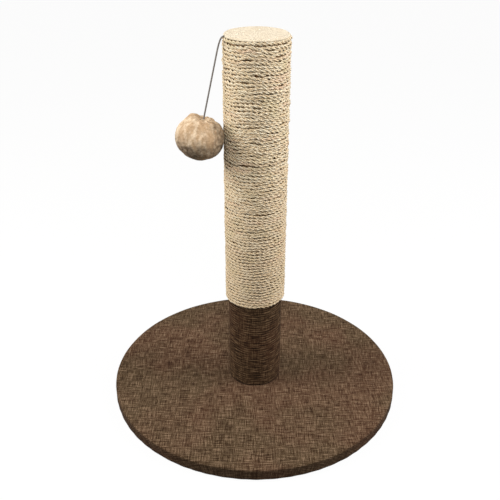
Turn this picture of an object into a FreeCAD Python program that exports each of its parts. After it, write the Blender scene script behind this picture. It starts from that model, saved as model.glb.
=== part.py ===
"""Cat scratching post: a round cloth-covered base, a rope-wound post and a toy ball on a cord.

Millimetres, +Z up. The origin is the middle of the underside that rests on the floor. The post
stands on the Z axis and the toy hangs on its -X side.
"""

import FreeCAD
import Part

import math
import os

V = FreeCAD.Vector

TINY = 1e-6  # two heights this close are the same

# ---- Driving dimensions -------------------------------------------------------------------

# Base: a board covered with cloth, which is folded under its edge and stapled there.
BASE_D = 400.0  # over the cloth
BOARD_T = 15.0
BOARD_EDGE_R = 2.4  # rounding of the board's top edge
BOARD_FOOT_R = 1.2  # rounding of the board's bottom edge
CLOTH_T = 0.7  # the same woven cloth on the base and on the tube
HEM_W = 25.0  # cloth folded under the board
LINING_T = 0.6
LINING_LAP = 12.0  # how far the lining laps over the hem

# Staples that hold the hem
HEM_STAPLES = 18
STAPLE_CROWN = 10.0
STAPLE_LEG = 7.0
STAPLE_WIRE_W = 1.2
STAPLE_WIRE_T = 0.5
STAPLE_INSET = 6.0  # from the hem's raw edge to the middle of the crown

# Bolt through the base into the post
BOLT_D = 8.0
BOLT_HOLE_D = 9.0
BOLT_LEN = 35.0  # under the head
BOLT_HEAD_AF = 13.0
BOLT_HEAD_T = 5.3
WASHER_D = 24.0
WASHER_T = 1.6
RECESS_D = 30.0  # round recess in the board for the head and washer
RECESS_DEPTH = 8.4
ACCESS_D = 34.0  # hole in the lining that lets a spanner reach the bolt

# Post
TUBE_D = 71.5
TUBE_WALL = 4.0
TUBE_LEN = 480.0
SLEEVE_TOP = 158.0  # height of the cloth sleeve's upper end above the floor
PLUG_CLEAR = 0.1  # between a plug and the tube's bore
BOTTOM_PLUG_T = 20.0
TOP_PLUG_T = 15.0
TEE_FLANGE_D = 22.0
TEE_FLANGE_T = 1.5
TEE_BARREL_D = 10.2
TEE_BARREL_LEN = 9.0
THREAD_CLEAR = 0.05  # between the bolt and the tee nut's bore

# Nails through the tube's wall into each plug
NAILS = 4
NAIL_D = 1.6
NAIL_LEN = 16.0
NAIL_HEAD_D = 3.6
NAIL_HEAD_T = 0.8
FIT = 0.05  # round a driven nail, a staple or a pressed-in barrel

# Rope
ROPE_D = 3.6  # across the flats of its eight-sided section
ROPE_PITCH = 4.02  # the least; a whole number of turns then fills the room
ROPE_SIDES = 8
ROPE_BOTTOM = 146.0  # height of the lowest turn's underside where the rope starts
ROPE_TO_CLOTH = 0.1
ROPE_END_DIP = 0.35  # a rope end lies this far inside the line of the turns
ROPE_END_TURN = 22.0  # degrees in which the straight end bends onto the turns
ROPE_BACK = 90.0  # bearing of the rope's ends, away from the toy and the front
MAX_TURNS = 24
GAP_WINDOW = 5  # points each side of the nearest one, in measuring the gap between turns

# Cap
CAP_D = 78.0
CAP_T = 3.0
CAP_EDGE_R = 0.8
CAP_TO_ROPE = 0.3

# Toy. The route is (distance from the post's axis, height above the tube's top end).
CORD_D = 2.0
CORD_ON_PLUG = 0.05  # from the plug's top face to the cord lying on it
CORD_INNER_END = 12.0  # distance from the axis to the cord's inner end
CORD_CORNER = 41.2  # where the cord turns down over the cap's rim
CORD_SWING = (44.0, -3.0)
CORD_LAST_BEND = (46.6, -11.0)
CORNER_SHARE = 0.45  # share of a corner's shorter run that its arc takes
CORD_ROOM = 0.15  # round the cord in the cap and in the ball's mouth
KNUCKLE_GAP = 0.3  # between the two lengths of cord at the pivot
CORD_STAPLE_CROWN = 4.4
CORD_STAPLE_LEG = 6.0
CORD_STAPLE_AT = 18.0  # distance from the axis

BALL_W = 60.0
BALL_H = 55.0
BALL_DROP = 117.0  # from the tube's top end down to the ball's middle
BALL_TO_POST = 0.3
PLUSH_T = 2.0
PLUSH_CLEAR = 0.1  # between the plush and the stuffing
MOUTH_LIP_R = 9.0  # radius of the gathered lip round the cord
MOUTH_DEPTH = 4.0  # from the ball's crown down to where the cord enters
MOUTH_FLARE = 0.6  # 0.5 for a straight funnel, more for a rounder lip
KNOT_FLAT = 0.9  # the cord meets the knot at this share of the knot's radius
KNOT_D = 5.0
KNOT_CLEAR = 0.3
KNOT_AT = 16.5  # from the ball's middle up to the knot's

# ---- Levels, radii and counts worked out from them ----------------------------------------

BASE_R = BASE_D / 2
HEM_Z = LINING_T
BOARD_Z = HEM_Z + CLOTH_T
BOARD_TOP = BOARD_Z + BOARD_T
BASE_TOP = BOARD_TOP + CLOTH_T
BOARD_R = BASE_R - CLOTH_T
HEM_INNER_R = BASE_R - HEM_W

TUBE_R = TUBE_D / 2
BORE_R = TUBE_R - TUBE_WALL
PLUG_R = BORE_R - PLUG_CLEAR
TUBE_TOP = BASE_TOP + TUBE_LEN
SLEEVE_R = TUBE_R + CLOTH_T
ROPE_R = SLEEVE_R + ROPE_TO_CLOTH + ROPE_END_DIP + ROPE_D / 2
POST_R = ROPE_R + ROPE_D / 2
ROPE_FIRST_Z = ROPE_BOTTOM + ROPE_D / 2
ROPE_ROOM = TUBE_TOP - CAP_TO_ROPE - ROPE_D - ROPE_BOTTOM
ROPE_TURNS = int(ROPE_ROOM / ROPE_PITCH)
ROPE_CLIMB = ROPE_ROOM / ROPE_TURNS  # from one turn to the next

CORD_R = CORD_D / 2
CORD_Z = TUBE_TOP + CORD_ON_PLUG + CORD_R


# ---- Small helpers ------------------------------------------------------------------------


def cylinder(r, z0, z1):
    return Part.makeCylinder(r, z1 - z0, V(0, 0, z0))


def ring(r_out, r_in, z0, z1):
    return cylinder(r_out, z0, z1).cut(cylinder(r_in, z0, z1))


def box_about(x, y, z0, size_x, size_y, size_z):
    """A box centred on x, y that stands on z0."""
    return Part.makeBox(size_x, size_y, size_z, V(x - size_x / 2, y - size_y / 2, z0))


def turned(shape, degrees):
    """A copy turned about the post's axis."""
    return shape.rotated(V(0, 0, 0), V(0, 0, 1), degrees)


def round_pattern(shape, count, first=0.0):
    return [turned(shape, first + 360.0 * i / count) for i in range(count)]


def cut_all(shape, tools):
    return shape.cut(Part.makeCompound(tools)) if tools else shape


def rim_edges(shape, z):
    """The outermost round edges at a height."""
    level = [e for e in shape.Edges if abs(e.BoundBox.ZMin - z) < TINY and abs(e.BoundBox.ZMax - z) < TINY]
    widest = max(e.BoundBox.XMax for e in level)
    return [e for e in level if abs(e.BoundBox.XMax - widest) < TINY]


def rounded_disc(r, z0, z1, top_r, bottom_r):
    disc = cylinder(r, z0, z1)
    disc = disc.makeFillet(top_r, rim_edges(disc, z1))
    return disc.makeFillet(bottom_r, rim_edges(disc, z0)) if bottom_r else disc


# ---- Paths of straight runs and arcs ------------------------------------------------------


def arc_between(start, corner, end):
    """The arc from start to end that is tangent to the two legs that meet at corner."""
    middle = (start + end) * 0.5
    weight = start.distanceToPoint(middle) / start.distanceToPoint(corner)
    return Part.Arc(start, (middle + corner * weight) * (1 / (1 + weight)), end).toShape()


def biarc(p0, t0, p1, t1):
    """Two arcs from p0 to p1 that leave along t0, arrive along t1 and join smoothly."""
    span = p1 - p0
    along = span.dot(t0 + t1)
    bend = 2 * (1 - t0.dot(t1))
    leg = (math.sqrt(along * along + bend * span.dot(span)) - along) / bend
    joint = (p0 + p1 + (t0 - t1) * leg) * 0.5
    return [arc_between(p0, p0 + t0 * leg, joint), arc_between(joint, p1 - t1 * leg, p1)]


def cord_path(points):
    """Edges along the points, each corner rounded as far as its shorter run allows."""
    edges = []
    start = points[0]
    for before, corner, after in zip(points, points[1:], points[2:]):
        into = (corner - before).normalize()
        out = (after - corner).normalize()
        leg = CORNER_SHARE * min(before.distanceToPoint(corner), corner.distanceToPoint(after))
        turn = into.getAngle(out)
        print("cord corner: turn %.1f degrees, radius %.1f mm" % (math.degrees(turn), leg / math.tan(turn / 2)))
        edges.append(Part.makeLine(start, corner - into * leg))
        edges.append(arc_between(corner - into * leg, corner, corner + out * leg))
        start = corner + out * leg
    edges.append(Part.makeLine(start, points[-1]))
    return Part.Wire(edges)


def swept(path, section, name):
    """The solid of a section swept along a path, its volume set against area times length."""
    solid = path.makePipeShell([section], True, False)
    expected = Part.Face(section).Area * path.Length
    print("%s: length %.1f mm, volume %.4f of section x length" % (name, path.Length, solid.Volume / expected))
    return solid


def cord_tube(points, name):
    path = cord_path(points)
    direction = (points[1] - points[0]).normalize()
    return swept(path, Part.Wire([Part.Circle(points[0], direction, CORD_R).toShape()]), name)


# ---- Base ---------------------------------------------------------------------------------


def hem_staple():
    """One staple on the +X side, its crown let into the hem."""
    at = HEM_INNER_R + STAPLE_INSET
    z0 = BOARD_Z - STAPLE_WIRE_T
    crown = box_about(at, 0, z0, STAPLE_WIRE_W, STAPLE_CROWN, STAPLE_WIRE_T)
    leg_y = (STAPLE_CROWN - STAPLE_WIRE_T) / 2
    legs = [
        box_about(at, side * leg_y, z0, STAPLE_WIRE_W, STAPLE_WIRE_T, STAPLE_WIRE_T + STAPLE_LEG)
        for side in (-1, 1)
    ]
    return crown.fuse(legs).removeSplitter()


def hem_staple_room():
    """The slot that one staple's crown and legs take in the hem and the board."""
    at = HEM_INNER_R + STAPLE_INSET
    wide = STAPLE_WIRE_W + 2 * FIT
    crown = box_about(at, 0, HEM_Z, wide, STAPLE_CROWN + 2 * FIT, CLOTH_T)
    leg_y = (STAPLE_CROWN - STAPLE_WIRE_T) / 2
    legs = [
        box_about(at, side * leg_y, HEM_Z, wide, STAPLE_WIRE_T + 2 * FIT, CLOTH_T + STAPLE_LEG + FIT)
        for side in (-1, 1)
    ]
    return crown.fuse(legs)


def base_pieces():
    board = rounded_disc(BOARD_R, BOARD_Z, BOARD_TOP, BOARD_EDGE_R, BOARD_FOOT_R)
    cover = rounded_disc(BASE_R, HEM_Z, BASE_TOP, BOARD_EDGE_R + CLOTH_T, BOARD_FOOT_R + CLOTH_T)
    cover = cover.cut(board).cut(cylinder(HEM_INNER_R, 0, BOARD_Z))
    bolt_hole = cylinder(BOLT_HOLE_D / 2, 0, BASE_TOP)
    recess = cylinder(RECESS_D / 2, BOARD_Z, BOARD_Z + RECESS_DEPTH)
    slots = round_pattern(hem_staple_room(), HEM_STAPLES)
    lining_r = HEM_INNER_R + LINING_LAP
    return {
        "base_board": cut_all(board.cut(bolt_hole).cut(recess), slots),
        "base_cover": cut_all(cover.cut(bolt_hole), slots),
        "base_lining": ring(lining_r, ACCESS_D / 2, 0, LINING_T),
        "hem_staples": Part.makeCompound(round_pattern(hem_staple(), HEM_STAPLES)),
    }


def bolt_pieces():
    """The bolt hangs from the recess's ceiling by its washer and reaches into the tee nut."""
    seat = BOARD_Z + RECESS_DEPTH
    under_head = seat - WASHER_T
    corner_r = BOLT_HEAD_AF / 2 / math.cos(math.radians(30))
    head_points = [
        V(corner_r * math.cos(math.radians(60 * i)), corner_r * math.sin(math.radians(60 * i)), 0)
        for i in range(6)
    ]
    head = Part.Face(Part.makePolygon(head_points + head_points[:1])).extrude(V(0, 0, BOLT_HEAD_T))
    head.translate(V(0, 0, under_head - BOLT_HEAD_T))
    shank = cylinder(BOLT_D / 2, under_head, under_head + BOLT_LEN)
    return {
        "base_bolt": head.fuse(shank).removeSplitter(),
        "bolt_washer": ring(WASHER_D / 2, BOLT_HOLE_D / 2, under_head, seat),
    }


# ---- Post ---------------------------------------------------------------------------------


def nail(z, clearance=0.0):
    """One nail on the +X side with its head flush with the tube, or the room that it takes."""
    outward = V(-1, 0, 0)
    shank = Part.makeCylinder(NAIL_D / 2 + clearance, NAIL_LEN + clearance, V(TUBE_R, 0, z), outward)
    head = Part.makeCylinder(NAIL_HEAD_D / 2 + clearance, NAIL_HEAD_T + clearance, V(TUBE_R, 0, z), outward)
    both = head.fuse(shank)
    return both if clearance else both.common(cylinder(TUBE_R, z - NAIL_HEAD_D, z + NAIL_HEAD_D))


def post_pieces():
    bottom_nail_z = BASE_TOP + BOTTOM_PLUG_T / 2
    top_nail_z = TUBE_TOP - TOP_PLUG_T / 2
    half_step = 180.0 / NAILS
    levels = (bottom_nail_z, top_nail_z)
    nails = [Part.makeCompound(round_pattern(nail(z), NAILS, half_step)) for z in levels]
    nail_room = [hole for z in levels for hole in round_pattern(nail(z, FIT), NAILS, half_step)]

    plug_top = BASE_TOP + BOTTOM_PLUG_T
    tee_bore = BOLT_D / 2 + THREAD_CLEAR
    tee = ring(TEE_FLANGE_D / 2, tee_bore, plug_top, plug_top + TEE_FLANGE_T).fuse(
        ring(TEE_BARREL_D / 2, tee_bore, plug_top - TEE_BARREL_LEN, plug_top)
    )
    bottom_plug = cylinder(PLUG_R, BASE_TOP, plug_top)
    bottom_plug = bottom_plug.cut(cylinder(BOLT_HOLE_D / 2, BASE_TOP, plug_top))
    bottom_plug = bottom_plug.cut(cylinder(TEE_BARREL_D / 2 + FIT, plug_top - TEE_BARREL_LEN, plug_top))
    top_plug = cylinder(PLUG_R, TUBE_TOP - TOP_PLUG_T, TUBE_TOP)
    return {
        "post_tube": cut_all(ring(TUBE_R, BORE_R, BASE_TOP, TUBE_TOP), nail_room),
        "tube_sleeve": ring(SLEEVE_R, TUBE_R, BASE_TOP, SLEEVE_TOP),
        "bottom_plug": cut_all(bottom_plug, nail_room),
        "bottom_plug_nails": nails[0],
        "tee_nut": tee.removeSplitter(),
        "top_plug": cut_all(top_plug, nail_room + cord_staple_legs(FIT)),
        "top_plug_nails": nails[1],
    }


# ---- Rope ---------------------------------------------------------------------------------


def on_turns(angle):
    """Point and direction on the rope's helix, angle in radians from the back."""
    climb = ROPE_CLIMB / (2 * math.pi)
    bearing = math.radians(ROPE_BACK) + angle
    run = math.hypot(ROPE_R, climb)
    point = V(ROPE_R * math.cos(bearing), ROPE_R * math.sin(bearing), ROPE_FIRST_Z + climb * angle)
    return point, V(-ROPE_R * math.sin(bearing), ROPE_R * math.cos(bearing), climb) * (1 / run)


def rope_end(angle):
    """Point and direction of a rope end, a little inside the turns."""
    point, direction = on_turns(angle)
    inward = V(-point.x, -point.y, 0).normalize()
    return point + inward * ROPE_END_DIP, direction


def rope_section_path(start_angle, end_angle):
    start, start_dir = rope_end(start_angle)
    end, end_dir = rope_end(end_angle)
    bend = math.radians(ROPE_END_TURN)
    steps = round((end_angle - start_angle) / math.pi)
    stations = [
        on_turns(start_angle + bend + (end_angle - start_angle - 2 * bend) * i / steps)
        for i in range(steps + 1)
    ]
    stations = [(start + start_dir * ROPE_D, start_dir)] + stations + [(end - end_dir * ROPE_D, end_dir)]
    edges = [Part.makeLine(start, stations[0][0])]
    for (p0, t0), (p1, t1) in zip(stations, stations[1:]):
        edges += biarc(p0, t0, p1, t1)
    edges.append(Part.makeLine(stations[-1][0], end))
    return Part.Wire(edges), start, start_dir


def rope_profile(centre, direction):
    """The eight-sided section, one flat facing the tube and one the next turn."""
    corner_r = ROPE_D / 2 / math.cos(math.pi / ROPE_SIDES)
    outward = V(centre.x, centre.y, 0).normalize()
    upward = direction.cross(outward) * -1
    corners = [
        centre + (outward * math.cos(a) + upward * math.sin(a)) * corner_r
        for a in [2 * math.pi * (i + 0.5) / ROPE_SIDES for i in range(ROPE_SIDES)]
    ]
    return Part.makePolygon(corners + corners[:1])


def least_gap_between_turns(path):
    """Measured on points of the path: the nearest pass of one turn by the next, less the rope."""
    spacing = ROPE_D / 2
    points = path.discretize(Number=int(path.Length / spacing))
    first = int(2 * math.pi * ROPE_R / spacing) - GAP_WINDOW
    least = min(
        point.distanceToPoint(beside)
        for i, point in enumerate(points)
        for beside in points[i + first : i + first + 2 * GAP_WINDOW]
    )
    return least - ROPE_D


def rope_sections():
    """The rope, drawn in lengths of at most MAX_TURNS turns that meet end to end at the back."""
    count = math.ceil(ROPE_TURNS / MAX_TURNS)
    sections = {}
    done = 0
    for i in range(count):
        mine = ROPE_TURNS // count + (1 if i < ROPE_TURNS % count else 0)
        path, start, direction = rope_section_path(2 * math.pi * done, 2 * math.pi * (done + mine))
        name = "rope_section_%d" % (i + 1)
        sections[name] = swept(path, rope_profile(start, direction), name)
        print("%s: %d turns, least gap to itself %.2f mm" % (name, mine, least_gap_between_turns(path)))
        done += mine
    return sections


# ---- Cap and the cord's fixed end ---------------------------------------------------------


def cord_staple_legs(clearance=0.0):
    """The two legs of the staple that pins the cord to the top plug."""
    y = (CORD_STAPLE_CROWN - STAPLE_WIRE_T) / 2
    side = STAPLE_WIRE_T + 2 * clearance
    top = CORD_Z + CORD_R + STAPLE_WIRE_T
    down = top - TUBE_TOP + CORD_STAPLE_LEG + clearance
    return [
        box_about(-CORD_STAPLE_AT, s * y, top - down, STAPLE_WIRE_W + 2 * clearance, side, down)
        for s in (-1, 1)
    ]


def cord_staple():
    crown = box_about(
        -CORD_STAPLE_AT, 0, CORD_Z + CORD_R, STAPLE_WIRE_W, CORD_STAPLE_CROWN, STAPLE_WIRE_T
    )
    return crown.fuse(cord_staple_legs()).removeSplitter()


def cap_pad():
    """The plush disc on the post's end, pressed down over the cord and its staple."""
    pad = rounded_disc(CAP_D / 2, TUBE_TOP, TUBE_TOP + CAP_T, CAP_EDGE_R, 0)
    groove_h = CORD_ON_PLUG + CORD_D + CORD_ROOM
    groove_w = CORD_D + 2 * CORD_ROOM
    inner = CORD_INNER_END - CORD_ROOM
    groove = Part.makeBox(CAP_D, groove_w, groove_h, V(-inner - CAP_D, -groove_w / 2, TUBE_TOP))
    staple_room = box_about(
        -CORD_STAPLE_AT,
        0,
        TUBE_TOP,
        STAPLE_WIRE_W + 2 * CORD_ROOM,
        CORD_STAPLE_CROWN + 2 * CORD_ROOM,
        CORD_ON_PLUG + CORD_D + STAPLE_WIRE_T + FIT,
    )
    return pad.cut(groove).cut(staple_room)


# ---- Toy ----------------------------------------------------------------------------------


def beside_post(at):
    """A point of the toy's route, given as (distance from the axis, height over the tube)."""
    return V(-at[0], 0, TUBE_TOP + at[1])


BALL_MIDDLE = beside_post((POST_R + BALL_TO_POST + BALL_W / 2, -BALL_DROP))
SWING_PIVOT = beside_post(CORD_SWING)
LAST_BEND = beside_post(CORD_LAST_BEND)
TO_BALL = (BALL_MIDDLE - LAST_BEND).normalize()


def on_ball_axis(along):
    """A point on the cord's line through the ball, measured up from the ball's middle."""
    return BALL_MIDDLE - TO_BALL * along


def cord_pieces():
    corner = V(-CORD_CORNER, 0, CORD_Z)
    rim = V(-(CAP_D / 2 - CORD_D), 0, CORD_Z)
    tail = Part.makeCylinder(CORD_R, -rim.x - CORD_INNER_END, V(-CORD_INNER_END, 0, CORD_Z), V(-1, 0, 0))
    to_pivot = (SWING_PIVOT - corner).normalize()
    bend_end = SWING_PIVOT - to_pivot * (CORD_R + KNUCKLE_GAP)
    cord_end = on_ball_axis(KNOT_AT + KNOT_D / 2 * KNOT_FLAT)
    free = cord_tube([SWING_PIVOT, LAST_BEND, cord_end], "toy_cord")
    return {
        "cord_tail": tail,
        "cord_bend": cord_tube([rim, corner, bend_end], "cord_bend"),
        "toy_cord": free.fuse(Part.makeSphere(CORD_R, SWING_PIVOT)).removeSplitter(),
    }


def ball_body(shrink):
    """The ball turned about the cord's line, its surface drawn in by shrink.

    Its outline is a four-arc oval with a drawn-in mouth. The end arcs are centred on the axis and
    meet the side arc where both are square to the oval's corner-to-corner line.
    """
    half_w = BALL_W / 2 - shrink
    half_h = BALL_H / 2 - shrink
    diagonal = math.hypot(half_w, half_h)
    end_r = diagonal * (diagonal + half_w - half_h) / (2 * half_h)
    end_z = half_h - end_r
    meet_angle = math.atan2(half_w, half_h)

    def on_end(angle, way):
        return V(end_r * math.cos(angle), 0, way * (end_z + end_r * math.sin(angle)))

    lip_angle = math.acos(MOUTH_LIP_R / end_r)
    lip = on_end(lip_angle, 1)
    floor_z = BALL_H / 2 - MOUTH_DEPTH - shrink
    throat = V(CORD_R, 0, floor_z)
    flank = V((throat.x + lip.x) * MOUTH_FLARE, 0, (throat.z + lip.z) / 2)
    foot = V(0, 0, -half_h)
    outline = Part.Wire(
        [
            Part.makeLine(V(0, 0, floor_z), throat),
            Part.Arc(throat, flank, lip).toShape(),
            Part.Arc(lip, on_end((lip_angle + meet_angle) / 2, 1), on_end(meet_angle, 1)).toShape(),
            Part.Arc(on_end(meet_angle, 1), V(half_w, 0, 0), on_end(meet_angle, -1)).toShape(),
            Part.Arc(on_end(meet_angle, -1), on_end((meet_angle + math.pi / 2) / 2, -1), foot).toShape(),
            Part.makeLine(foot, V(0, 0, floor_z)),
        ]
    )
    return Part.Face(outline).revolve(V(0, 0, 0), V(0, 0, 1), 360)


def onto_ball_axis(shape):
    """Moves a shape made about the origin's Z axis onto the cord's line at the ball."""
    lean = FreeCAD.Rotation(V(0, 0, 1), TO_BALL * -1)
    moved = shape.copy()
    moved.Placement = FreeCAD.Placement(BALL_MIDDLE, lean).multiply(moved.Placement)
    return moved


def ball_pieces():
    channel = cylinder(CORD_R + CORD_ROOM, KNOT_AT, BALL_H / 2)
    knot_room = Part.makeSphere(KNOT_D / 2 + KNOT_CLEAR, V(0, 0, KNOT_AT))
    cover = ball_body(0).cut(ball_body(PLUSH_T)).cut(channel)
    core = ball_body(PLUSH_T + PLUSH_CLEAR).cut(channel).cut(knot_room)
    knot = Part.makeSphere(KNOT_D / 2, V(0, 0, KNOT_AT))
    knot = knot.cut(cylinder(KNOT_D, KNOT_AT + KNOT_D / 2 * KNOT_FLAT, KNOT_AT + KNOT_D))
    return {
        "ball_cover": onto_ball_axis(cover),
        "ball_core": onto_ball_axis(core),
        "ball_knot": onto_ball_axis(knot),
    }


# ---- All pieces ---------------------------------------------------------------------------


def all_pieces():
    pieces = {}
    pieces.update(base_pieces())
    pieces.update(bolt_pieces())
    pieces.update(post_pieces())
    pieces.update(rope_sections())
    pieces["cap_pad"] = cap_pad()
    pieces["cord_staple"] = cord_staple()
    pieces.update(cord_pieces())
    pieces.update(ball_pieces())
    return pieces


os.makedirs("parts", exist_ok=True)
for node, shape in all_pieces().items():
    print("%s: %d solid(s), valid %s, %.1f mm3" % (node, len(shape.Solids), shape.isValid(), shape.Volume))
    shape.exportStep("parts/%s.step" % node)
print("swing pivot %s, ball middle %s, to ball %s" % (SWING_PIVOT, BALL_MIDDLE, TO_BALL))
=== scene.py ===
"""The looks of the cat scratching post: cloth, sisal rope, plush and cord round the CAD frame.

Metres, in the part's own frame: +Z up, origin under the middle of the base, toy on the -X side.
"""

import math

import bpy
from mathutils import Matrix, Vector, noise

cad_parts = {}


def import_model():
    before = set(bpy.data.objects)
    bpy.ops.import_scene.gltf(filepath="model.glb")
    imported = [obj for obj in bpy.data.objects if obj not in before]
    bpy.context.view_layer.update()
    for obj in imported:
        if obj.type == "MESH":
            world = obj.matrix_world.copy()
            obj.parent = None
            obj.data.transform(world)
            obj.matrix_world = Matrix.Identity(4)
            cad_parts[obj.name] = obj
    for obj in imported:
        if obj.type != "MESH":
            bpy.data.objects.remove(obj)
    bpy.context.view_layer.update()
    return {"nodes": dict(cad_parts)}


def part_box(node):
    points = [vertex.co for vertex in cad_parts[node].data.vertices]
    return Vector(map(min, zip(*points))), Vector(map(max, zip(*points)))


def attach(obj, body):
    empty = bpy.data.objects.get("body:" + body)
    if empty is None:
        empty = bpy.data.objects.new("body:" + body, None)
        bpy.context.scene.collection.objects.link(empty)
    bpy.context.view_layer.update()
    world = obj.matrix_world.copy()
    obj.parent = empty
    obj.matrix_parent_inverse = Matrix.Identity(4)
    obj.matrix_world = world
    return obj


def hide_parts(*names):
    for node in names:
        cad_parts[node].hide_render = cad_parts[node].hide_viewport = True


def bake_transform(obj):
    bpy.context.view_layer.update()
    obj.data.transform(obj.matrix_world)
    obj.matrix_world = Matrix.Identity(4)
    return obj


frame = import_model()

MM = 0.001
STAND = "post_and_base"

# ---- Sizes, as in the CAD source ----------------------------------------------------------

BASE_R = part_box("base_cover")[1].x
BASE_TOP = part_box("base_cover")[1].z
LINING_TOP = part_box("base_lining")[1].z
LINING_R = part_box("base_lining")[1].x
ACCESS_R = 17.0 * MM  # the lining's hole, for the bolt
HEM_INNER_R = 175.0 * MM
HEM_BOLT_R = 4.5 * MM  # the cloth's hole, for the bolt
EDGE_R = 2.0 * MM  # rounding of the cloth pulled tight over the top edge
FOOT_R = 1.9 * MM  # rounding of the covered bottom edge
CLOTH_T = 0.7 * MM

SLEEVE_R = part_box("tube_sleeve")[1].x
SLEEVE_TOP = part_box("tube_sleeve")[1].z
TUBE_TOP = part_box("post_tube")[1].z
TUBE_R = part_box("post_tube")[1].x

ROPE_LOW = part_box("rope_section_1")[0].z
ROPE_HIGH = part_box("rope_section_4")[1].z
ROPE_TURNS = (22, 22, 21, 21)
ROPE_D = 4.5 * MM  # before its turns are pressed together
ROPE_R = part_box("rope_section_2")[1].x - ROPE_D / 2
ROPE_LAY = 18.77 * MM  # one full twist of the rope's strands
ROPE_BACK = math.radians(90)  # bearing of the rope's ends

CAP_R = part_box("cap_pad")[1].y
CAP_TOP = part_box("cap_pad")[1].z
HIDDEN_RING_R = 20.0 * MM  # a ring of points under the post or under the cap

CORD_D = 2.0 * MM
CORD_Z = TUBE_TOP + 1.05 * MM
CORD_ROUTE = [
    Vector((-0.0120, 0, CORD_Z)),
    Vector((-0.0370, 0, CORD_Z)),
    Vector((-0.0412, 0, CORD_Z)),
    Vector((-0.0440, 0, 0.4940)),
    Vector((-0.0466, 0, 0.4860)),
    Vector((-0.0493, 0, 0.4743)),
    Vector((-0.06663, 0, 0.39828)),
]
FREE_FROM = CORD_ROUTE[4]  # the cord hangs straight from here to the ball
BALL_MIDDLE = Vector((-0.0708, 0, 0.3800))
BALL_AXIS = (FREE_FROM - BALL_MIDDLE).normalized()
BALL_W = 60.0 * MM
BALL_H = 55.0 * MM
CORD_TURN_TO = Vector((-0.0462, 0, 0.4870))  # and follows it wholly from here

TOY_BEARING = math.radians(17)  # how far the toy stands in front of the post's left side


def in_view_frame(x, y, z):
    """A place given as the photograph sees it, x to the right and y away, in the part's frame."""
    return Matrix.Rotation(-TOY_BEARING, 4, "Z") @ Vector((x, y, z))


# ---- Mesh helpers -------------------------------------------------------------------------

EDGE_STEPS = 6  # points along a rounded edge


def new_piece(name, points, faces, body, material, cad_nodes):
    """A smooth-shaded mesh piece that rides on a body, if named, and stands for CAD nodes."""
    mesh = bpy.data.meshes.new(name)
    mesh.from_pydata([tuple(p) for p in points], [], faces)
    mesh.validate()
    mesh.polygons.foreach_set("use_smooth", [True] * len(mesh.polygons))
    mesh.update()
    piece = bpy.data.objects.new(name, mesh)
    bpy.context.scene.collection.objects.link(piece)
    mesh.materials.append(material)
    if body:
        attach(piece, body)
    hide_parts(*cad_nodes)
    return piece


def point_values(piece, name, values):
    """Keeps a number or a vector on each of the piece's points, for its material."""
    is_vector = hasattr(values[0], "__len__")
    kind = "FLOAT_VECTOR" if is_vector else "FLOAT"
    layer = piece.data.attributes.new(name, kind, "POINT")
    if is_vector:
        layer.data.foreach_set("vector", [x for value in values for x in value])
    else:
        layer.data.foreach_set("value", values)


def grid_faces(rows, columns, closed_rows=False, closed_columns=False):
    """Quads of a grid of points that is numbered row by row."""
    faces = []
    for i in range(rows if closed_rows else rows - 1):
        for j in range(columns if closed_columns else columns - 1):
            a, b = i * columns, ((i + 1) % rows) * columns
            k = (j + 1) % columns
            faces.append((a + j, a + k, b + k, b + j))
    return faces


def tube_faces(rings, sides):
    """Quads round a tube, with one flat face at each end."""
    faces = grid_faces(rings, sides, closed_columns=True)
    last = (rings - 1) * sides
    faces.append(tuple(range(sides)))
    faces.append(tuple(range(last, last + sides))[::-1])
    return faces


def smooth_step(x, low, high):
    t = min(1.0, max(0.0, (x - low) / (high - low)))
    return t * t * (3 - 2 * t)


def around(r, angle, z):
    return Vector((r * math.cos(angle), r * math.sin(angle), z))


def ring_angles(count):
    return [2 * math.pi * j / count for j in range(count)]


def quarter_round():
    """(1 - sine, 1 - cosine) through a quarter turn, for a rounded edge."""
    angles = [math.pi / 2 * i / EDGE_STEPS for i in range(EDGE_STEPS + 1)]
    return [(1 - math.sin(a), 1 - math.cos(a)) for a in angles]


def soft_noise(x, y=0.0, z=0.0):
    return noise.noise(Vector((x, y, z)))


# ---- Materials ----------------------------------------------------------------------------


def linear(r, g, b):
    """A colour that is given in 8-bit display values."""
    shares = [c / 255 for c in (r, g, b)]
    return tuple(((s + 0.055) / 1.055) ** 2.4 if s > 0.04 else s / 12.92 for s in shares) + (1.0,)


def cleared_tree(owner):
    """The node tree of a material or a world, emptied."""
    owner.use_nodes = True
    owner.node_tree.nodes.clear()
    return owner.node_tree


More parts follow.
